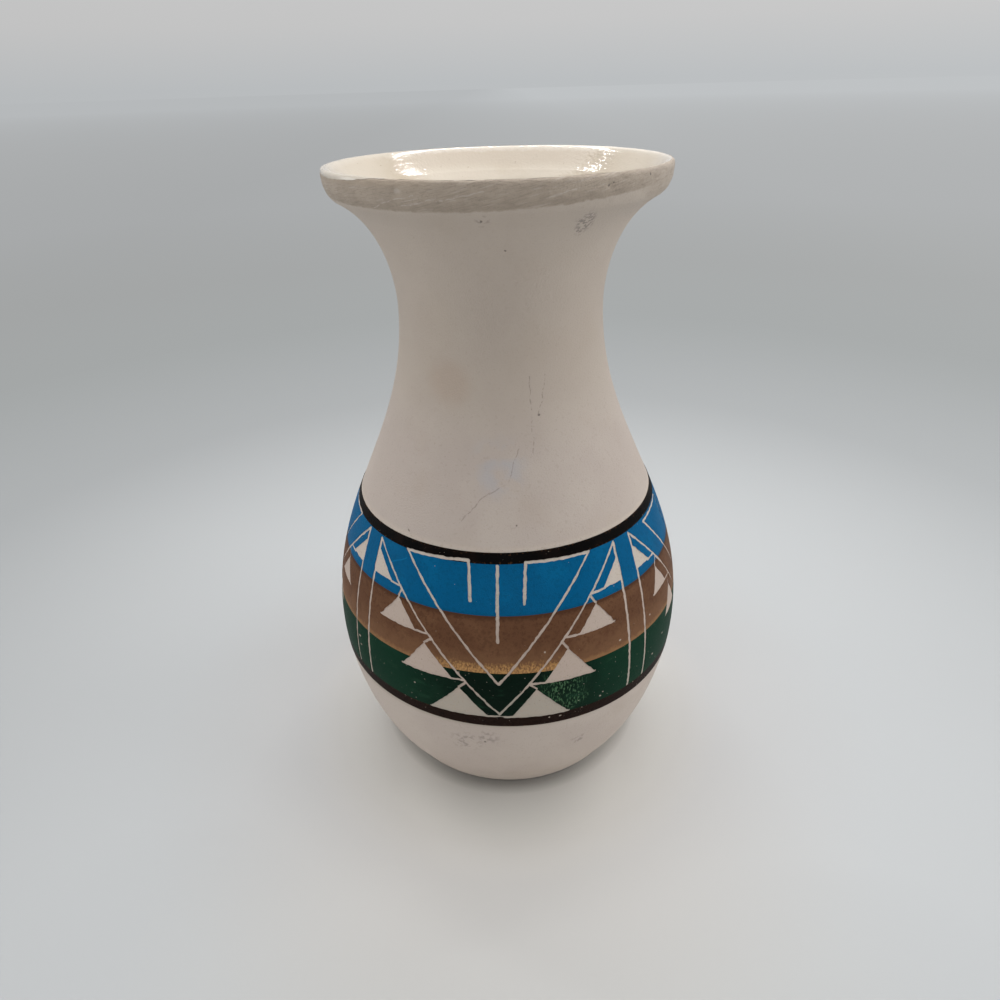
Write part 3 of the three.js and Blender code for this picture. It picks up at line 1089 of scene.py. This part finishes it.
def buildBrownLook():
    # Sprayed paler towards the lower edge, where the front has coarse gold specks, and painted
    # darker just below its upper edge as a painted shadow of the blue band
    m = startMaterial("Brown_underglaze")
    low, high = bands["brown"]
    _, front = frontPlace(m, 0.5, 0.9)
    side = addNode(m, "Math", m.across, 3.0, operation="ADD")
    side = addNode(m, "Math", side, operation="ABSOLUTE")
    strip = bandEdge(m, 0.9, low, 75.6, 72.6)
    gold = patches(m, 0.5, 0.36, 0.62, stretch=(1, 1, 0.55))
    layers = [
        ("brownPale", 0.6, bandEdge(m, 5.0, low, 82.0, 73.0)),
        ("tan", 0.45, bandEdge(m, 1.2, low, 73.4, 71.3)),
        ("gold", 0.75, (side, 27.0, 15.0), strip, gold, front),
        # Painted shadow: a darker strip just below the blue band's lower edge
        ("brownDeepAndShadow", 0.8, bandEdge(m, 1.2, high, high - 1.9, high - 0.4)),
    ]
    return finishCoat(m, "brown", "brownDeepAndShadow", "brownPale", layers, 0.79)


def buildGreenLook():
    # Deep in the middle and greener towards the sides, rubbed pale beside the lowest triangle
    m = startMaterial("Green_underglaze")
    side = addNode(m, "Math", m.across, operation="ABSOLUTE")
    flat, front = frontPlace(m, 6.0, 6.0)
    grit = patches(m, 0.5, 0.5, 0.62, stretch=(1, 1, 0.4))
    layers = [
        ("greenSide", 0.75, (side, 12.0, 42.0)),
        ("scuff", 0.75, nearSpots(m, flat, rubbedSpots), grit, front),
        ("greenPale", 0.8, patches(m, 4.0, 0.58, 0.72, stretch=(0.5, 0.5, 1.5))),
    ]
    return finishCoat(m, "green", "greenDeep", "greenPale", layers, 0.765)


def dress(piece, material):
    piece.data.materials.clear()
    piece.data.materials.append(material)


# What each piece stands for in the model, and its material
lowerBlack = buildBlackLook("Red_black_underglaze", "lowerLine", "redBlack", 0.75)
upperBlack = buildBlackLook("Black_underglaze", "upperLine", "black", 0.78)
standsFor = [
    (clay, "clay_body", "fired_clay", buildClayLook()),
    (lining, "interior_glaze", "clear_glaze", buildGlazeLook()),
    (coats["lowerLine"], "lower_black_line", "black_coat", lowerBlack),
    (coats["green"], "green_band", "green_coat", buildGreenLook()),
    (coats["brown"], "brown_band", "brown_coat", buildBrownLook()),
    (coats["blue"], "blue_band", "blue_coat", buildBlueLook()),
    (coats["upperLine"], "upper_black_line", "black_coat", upperBlack),
]
for piece, node, slot, material in standsFor:
    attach(piece, "root")
    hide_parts(node)
    dress(piece, material)
print("stage: materials")

# Floor and light, in metres. The paper bounces more light than the camera sees on it, which evens
# the light on the underside, and the room is dim.
studio = {
    "floorRadius": 30.0,
    "bounce": 1.5,
    "world": 0.373,
    # from where to where the paper that is painted gives way to the far part, and both ramps' spans
    "farPaper": (0.22, 0.6),
    "nearSpan": 0.6,
    "farSpan": 12.0,
    "lampAim": (0, 0, 0.11),
}
# The camera's focal length in pixels, its place, and its turns in degrees
view = {
    "focal": 726.89,
    "place": (0, -0.2373, 0.23487),
    "pitch": 29.94,
    "roll": -1.67,
    "yaw": -0.49,
}
lamps = [
    # name, place, size, watts, degrees turned about its own axis
    ("overhead", (0, 0, 1.3), (1.2, 1.2), 10.5, 0),
    ("left", (-1.0, 0, 0.4), (0.8, 0.6), 3.5, 0),
    ("right", (1.0, 0, 0.6), (0.8, 0.6), 6.0, 0),
    ("front", (0, -1.1, 0.35), (0.6, 0.5), 1.9, 0),
    ("back_strip", (0, 0.5, 0.98), (0.8, 0.016), 4.4, -7),
]
# The paper's colour by distance from the vase: what the near part is painted, as a share of the
# near span, and what the far part shows, as a share of the far span. The near colours are painted
# light and shade: a darker disc out to the foot's edge as a painted contact shadow, a pale ring
# just beyond it as painted light, and dimmer further out.
paperNearLightAndShade = [
    (0.0, "#aeadaa"), (0.0825, "#aeadaa"), (0.09, "#d0cfcc"), (0.11, "#c3c2bf"),
    (0.125, "#bbbab8"), (0.15, "#b5b5b5"), (0.25, "#b0b2b3"), (0.333, "#abadae"),
    (0.6, "#989a9b"), (1.0, "#949697"),
]
paperFar = [
    (0.0, "#c4c8ca"), (0.028, "#b2b5b6"), (0.05, "#a8abab"), (0.075, "#a8aaaa"),
    (0.13, "#adafb0"), (0.26, "#b0b2b3"), (1.0, "#bcbfc1"),
]
paperSky = [(0.0, "#bcbfc1"), (0.06, "#c7c7c7"), (0.12, "#cacaca"), (1.0, "#cacaca")]
# Painted light and shadow on the paper: a painted lift in front of the vase, and a painted contact
# shadow at the front of its foot. Each is a place, how far off that begins and is full, and the
# factors
paperPaintedLightAndShadow = [
    ((0, -0.115, 0), 0.14, 0.03, (1.07, 1.045, 1.01)),
    ((0, -0.045, 0), 0.042, 0.012, (0.72, 0.72, 0.72)),
]
# Painted shade: the paper and the backdrop are a little dimmer on the left than on the right: from
# where to where, and how much
paperSideShade = (-0.7, 0.7, 0.93, 1.04)


def seenRays(material):
    # A mask of rays from the camera, also where a shiny or clear surface sends them on
    path = addNode(material, "LightPath", out=None)
    rays = ("Is Camera Ray", "Is Glossy Ray", "Is Transmission Ray")
    return anyOf(material, *(path[ray] for ray in rays))


def buildPaper():
    # Matt paper with painted light and shade near the vase: the camera sees its colour fade with
    # distance, and the vase gets an even bounce
    m = emptied(bpy.data.materials.new("Matt_paper"))
    place = addNode(m, "TexCoord", out="Object")
    reach = addNode(m, "VectorMath", place, out="Value", operation="LENGTH")
    ramps = []
    for span, stops in ((studio["nearSpan"], paperNearLightAndShade), (studio["farSpan"], paperFar)):
        share = addNode(m, "Math", reach, span, operation="DIVIDE", use_clamp=True)
        ramps.append(addNode(m, "ValToRGB", share, ramp=stops))
    near, far = ramps
    # Painted light in front of the vase, and a painted contact shadow at the front of its foot
    for centre, start, end, factors in paperPaintedLightAndShadow:
        gap = addNode(m, "VectorMath", place, centre, out="Value", operation="DISTANCE")
        lifted = addNode(m, "VectorMath", near, factors, operation="MULTIPLY")
        sockets = {0: where(m, (gap, start, end)), 6: near, 7: lifted}
        near = addNode(m, "Mix", sockets, out=2, data_type="RGBA")
    wide = addNode(m, "Math", reach, 0.4, operation="ADD", use_clamp=True)
    parts = addNode(m, "SeparateXYZ", place, out=None)
    tilt = addNode(m, "Math", parts[0], wide, operation="DIVIDE")
    lean = addNode(m, "MapRange", tilt, *paperSideShade)
    far = addNode(m, "VectorMath", far, {"Scale": lean}, operation="SCALE")
    bounced = addNode(m, "VectorMath", near, {"Scale": studio["bounce"]}, operation="SCALE")
    seen = seenRays(m)
    near = addNode(m, "Mix", {0: seen, 6: bounced, 7: near}, out=2, data_type="RGBA")
    near = addNode(m, "VectorMath", near, {"Scale": lean}, operation="SCALE")
    paint = addNode(m, "BsdfDiffuse", near)
    glow = addNode(m, "Emission", far)
    away = where(m, seen, (reach, *studio["farPaper"]))
    mixed = addNode(m, "MixShader", away, paint, glow)
    addNode(m, "OutputMaterial", mixed, out=None)
    return m


def addLamp(name, place, size, watts, turn):
    deselectAll()
    bpy.ops.object.light_add(type="AREA", location=place)
    lamp = nameNew(name)
    lamp.data.shape = "RECTANGLE"
    lamp.data.size, lamp.data.size_y = size
    lamp.data.energy = watts
    aim = (Vector(studio["lampAim"]) - Vector(place)).to_track_quat("-Z", "Y").to_matrix()
    lamp.rotation_euler = (aim @ Matrix.Rotation(math.radians(turn), 3, "Z")).to_euler()


def buildWorld():
    # A dim even room, and above the floor's edge the camera sees the same pale paper
    world = emptied(bpy.data.worlds.new("room"))
    room = addNode(world, "Background", "#ffffff", studio["world"])
    towards = addNode(world, "TexCoord", out="Generated")
    parts = addNode(world, "SeparateXYZ", towards, out=None)
    sky = addNode(world, "ValToRGB", parts[2], ramp=paperSky)
    lean = addNode(world, "MapRange", parts[0], *paperSideShade)
    sky = addNode(world, "VectorMath", sky, {"Scale": lean}, operation="SCALE")
    paper = addNode(world, "Background", sky, 1.0)
    mixed = addNode(world, "MixShader", seenRays(world), room, paper)
    addNode(world, "OutputWorld", mixed, out=None)
    scene.world = world


def buildCamera():
    bpy.ops.object.camera_add()
    camera = nameNew("camera")
    camera.data.sensor_fit = "HORIZONTAL"
    camera.data.sensor_width = 36
    camera.data.lens = view["focal"] * 36 / 1000
    camera.data.clip_start = 0.01
    camera.data.clip_end = 100
    turned = Matrix.Translation(view["place"])
    for angle, axis in ((-view["yaw"], "Z"), (90 - view["pitch"], "X"), (view["roll"], "Z")):
        turned = turned @ Matrix.Rotation(math.radians(angle), 4, axis)
    camera.matrix_world = turned
    scene.camera = camera


deselectAll()
bpy.ops.mesh.primitive_circle_add(vertices=96, radius=studio["floorRadius"], fill_type="NGON")
floor = nameNew("floor")
dress(floor, buildPaper())
for lamp in lamps:
    addLamp(*lamp)
buildWorld()
buildCamera()
scene.view_settings.view_transform = "Standard"
print("stage: studio")

print("stage: done")
